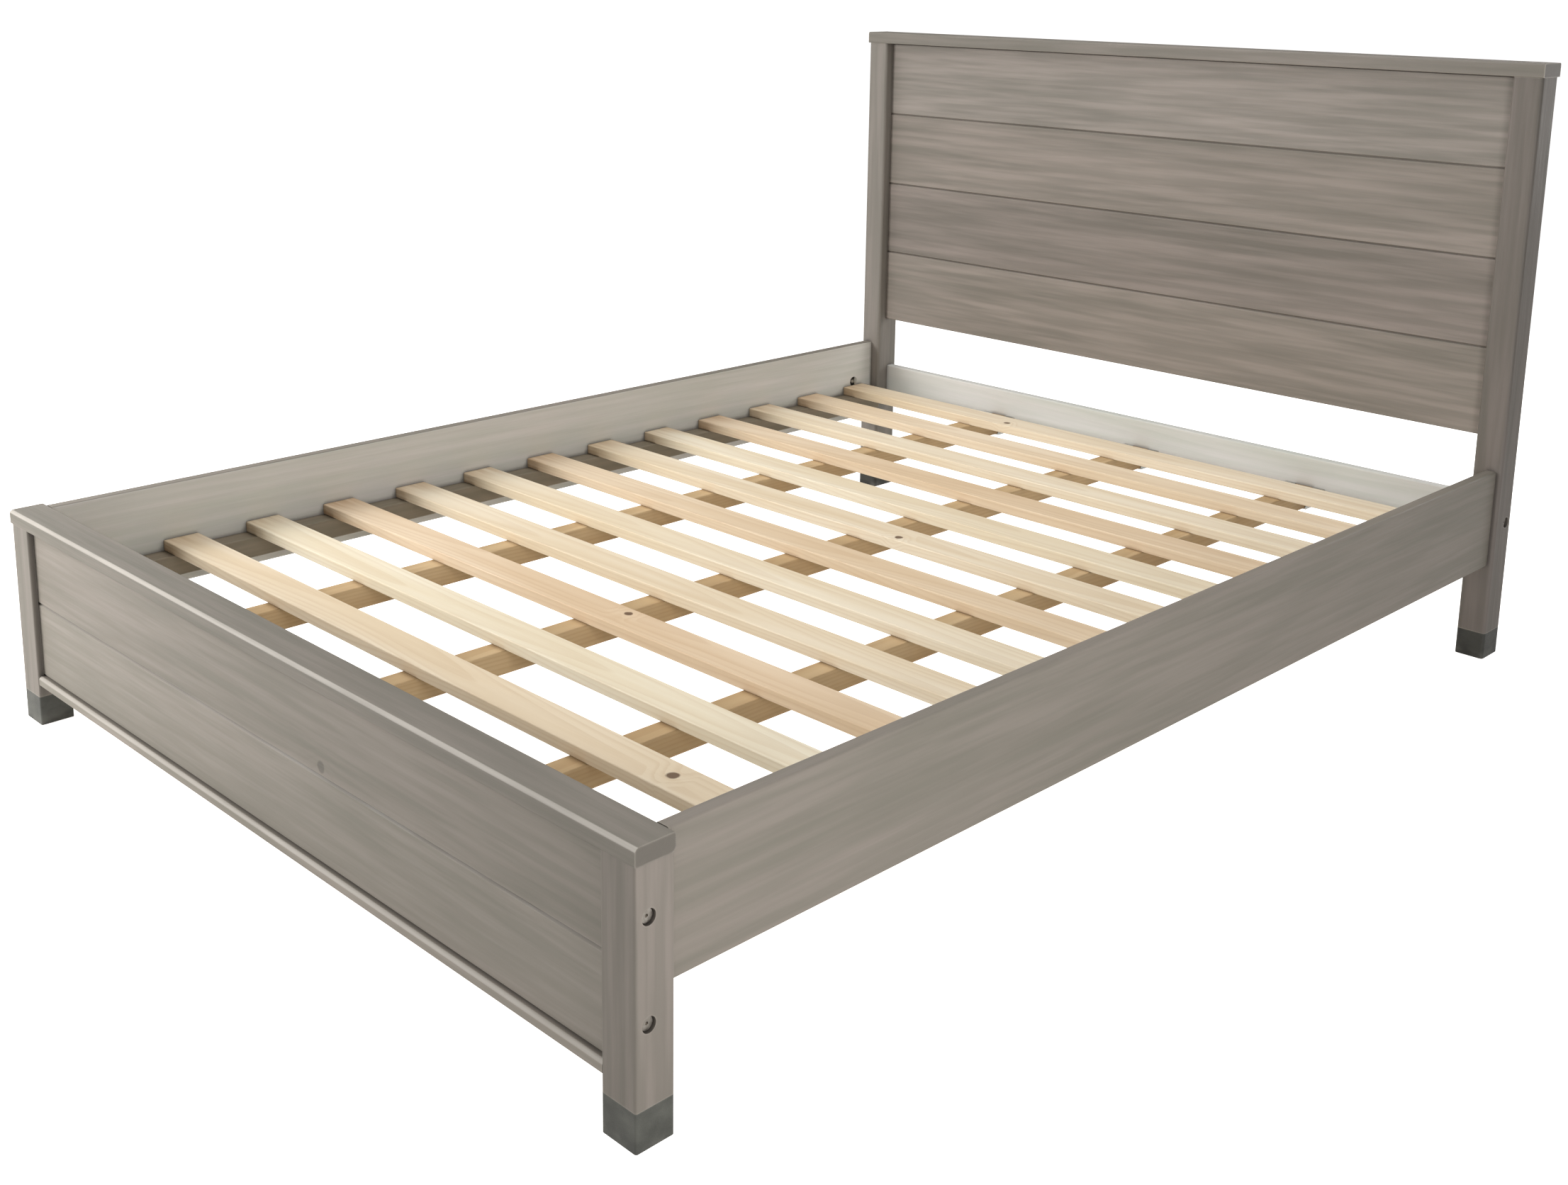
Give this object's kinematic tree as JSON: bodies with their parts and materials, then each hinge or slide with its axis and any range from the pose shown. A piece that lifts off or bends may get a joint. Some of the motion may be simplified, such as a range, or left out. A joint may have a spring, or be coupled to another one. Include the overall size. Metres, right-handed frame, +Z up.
{
  "type": "bed frame",
  "caption": "Pine bed frame with a tall plank headboard, a low plank footboard, deep side rails on square posts and an open slatted deck for a mattress.",
  "frame": {"origin": "on the floor, under the middle of the bed", "axes": "+X to the right as seen from the foot of the bed, +Y from the footboard to the headboard, +Z up"},
  "size_m": [1.594, 2.164, 1.11],
  "materials": {
    "stained_pine": "grey stain, satin",
    "ledger_pine": "grey stain, matt",
    "pale_pine": "planed, unfinished",
    "bearer_pine": "planed, unfinished",
    "shoe": "moulded, matt",
    "steel": "zinc plated",
    "dowel": "fluted beech, plain"
  },
  "bodies": {
    "root": {"head_post_left": "stained_pine", "head_post_right": "stained_pine", "foot_post_left": "stained_pine", "foot_post_right": "stained_pine", "shoe_head_left": "shoe", "shoe_head_right": "shoe", "shoe_foot_left": "shoe", "shoe_foot_right": "shoe", "head_cap": "stained_pine", "head_plank_1": "stained_pine", "head_plank_2": "stained_pine", "head_plank_3": "stained_pine", "head_plank_4": "stained_pine", "lower_head_rail": "stained_pine", "foot_cap": "stained_pine", "foot_plank_upper": "stained_pine", "foot_plank_lower": "stained_pine", "foot_bottom_rail": "stained_pine", "side_rail_left": "stained_pine", "side_rail_right": "stained_pine", "ledger_left": "ledger_pine", "ledger_right": "ledger_pine", "bearer_left": "bearer_pine", "bearer_middle": "bearer_pine", "bearer_right": "bearer_pine", "slat_01": "pale_pine", "slat_02": "pale_pine", "slat_03": "pale_pine", "slat_04": "pale_pine", "slat_05": "pale_pine", "slat_06": "pale_pine", "slat_07": "pale_pine", "slat_08": "pale_pine", "slat_09": "pale_pine", "slat_10": "pale_pine", "slat_11": "pale_pine", "slat_12": "pale_pine", "slat_13": "pale_pine", "bearer_hangers": "steel", "hanger_screws": "steel", "slat_screws": "steel", "ledger_screws": "steel", "shoe_screws": "steel", "rail_bolts": "steel", "half_moon_washers": "steel", "rail_nuts": "steel", "rail_dowels": "dowel", "foot_board_bolts": "steel", "head_rail_bolts": "steel", "cross_dowels": "steel", "cap_dowels": "dowel", "low_rail_dowels": "dowel", "bottom_rail_dowels": "dowel"}
  },
  "joints": []
}
